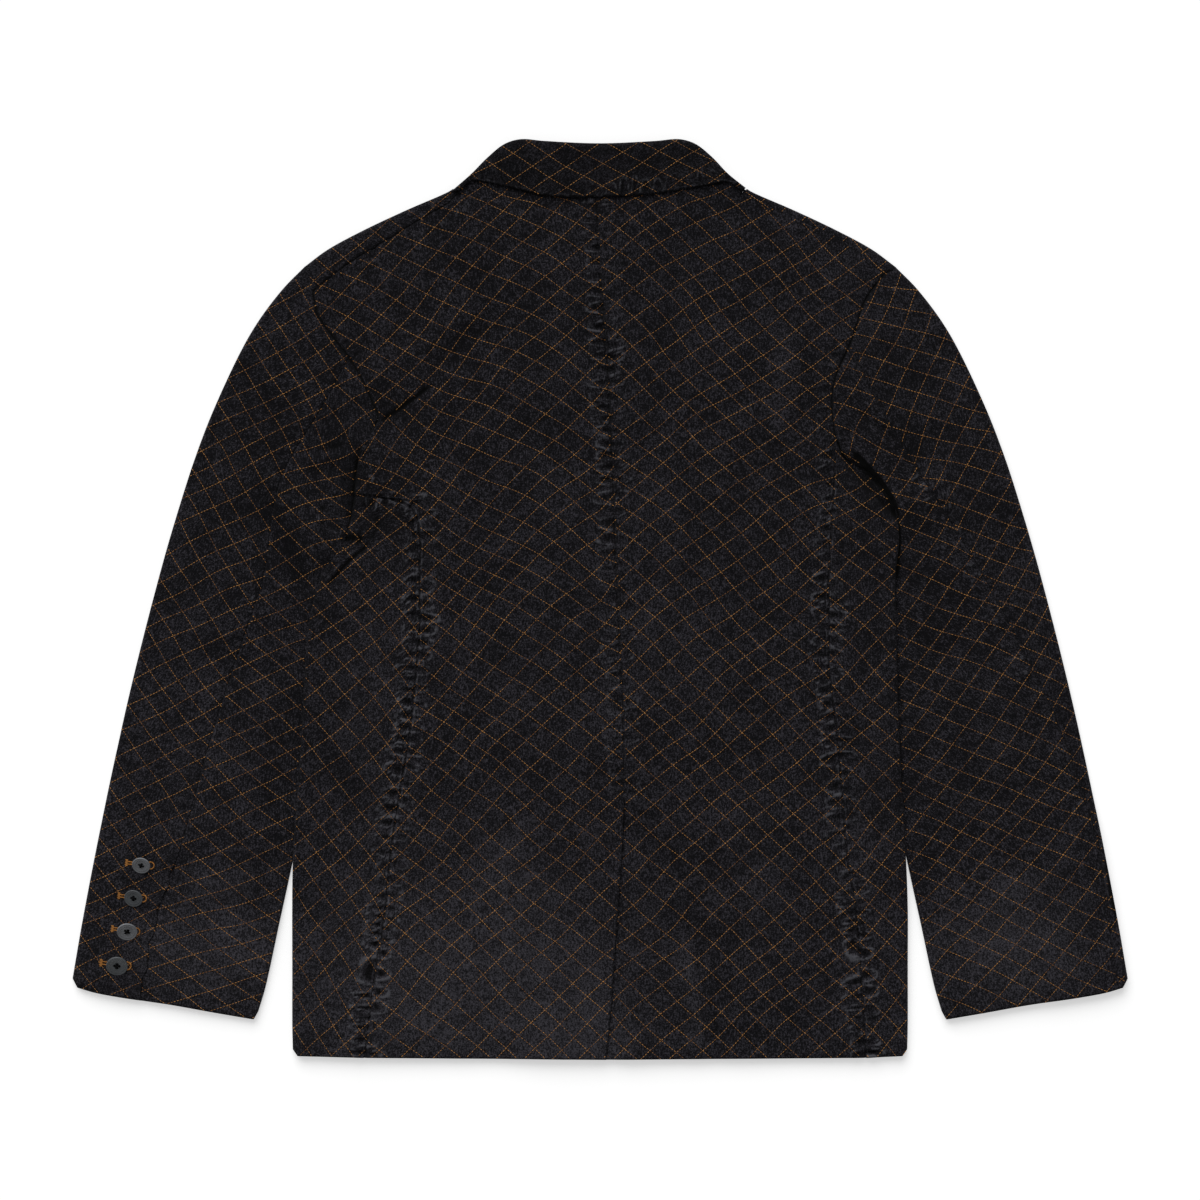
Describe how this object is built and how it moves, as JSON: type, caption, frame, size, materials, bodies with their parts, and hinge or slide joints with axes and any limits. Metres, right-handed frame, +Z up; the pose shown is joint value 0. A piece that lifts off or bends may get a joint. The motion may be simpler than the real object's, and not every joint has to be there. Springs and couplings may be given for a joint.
{
  "type": "blazer",
  "caption": "Washed denim blazer laid flat, back up: fold-over collar, centre-back seam with vent, side panels, two-piece sleeves and buttoned cuffs.",
  "frame": {"origin": "centre of the garment's outline, on the surface it lies on", "axes": "+X across the garment to its right sleeve as seen from above, +Y towards the collar, +Z up out of the surface"},
  "size_m": [0.896, 0.7807, 0.0104],
  "materials": {
    "denim": "washed charcoal denim with a stitched diamond lattice",
    "sleeve_denim": "washed charcoal denim with a stitched diamond lattice",
    "collar_denim": "washed black denim with a stitched diamond lattice",
    "button": "smooth grey horn look"
  },
  "bodies": {
    "root": {"back_left": "denim", "back_right": "denim", "side_left": "denim", "side_right": "denim", "front_left": "denim", "front_right": "denim", "lapel_left": "denim", "lapel_right": "denim", "collar": "collar_denim", "collar_end_left": "collar_denim", "collar_end_right": "collar_denim", "top_sleeve_left": "sleeve_denim", "under_sleeve_left": "sleeve_denim", "top_sleeve_right": "sleeve_denim", "under_sleeve_right": "sleeve_denim", "cuff_button_left_1": "button", "cuff_button_left_2": "button", "cuff_button_left_3": "button", "cuff_button_left_4": "button", "cuff_button_right_1": "button", "cuff_button_right_2": "button", "cuff_button_right_3": "button", "cuff_button_right_4": "button", "front_button_1": "button", "front_button_2": "button"}
  },
  "joints": []
}
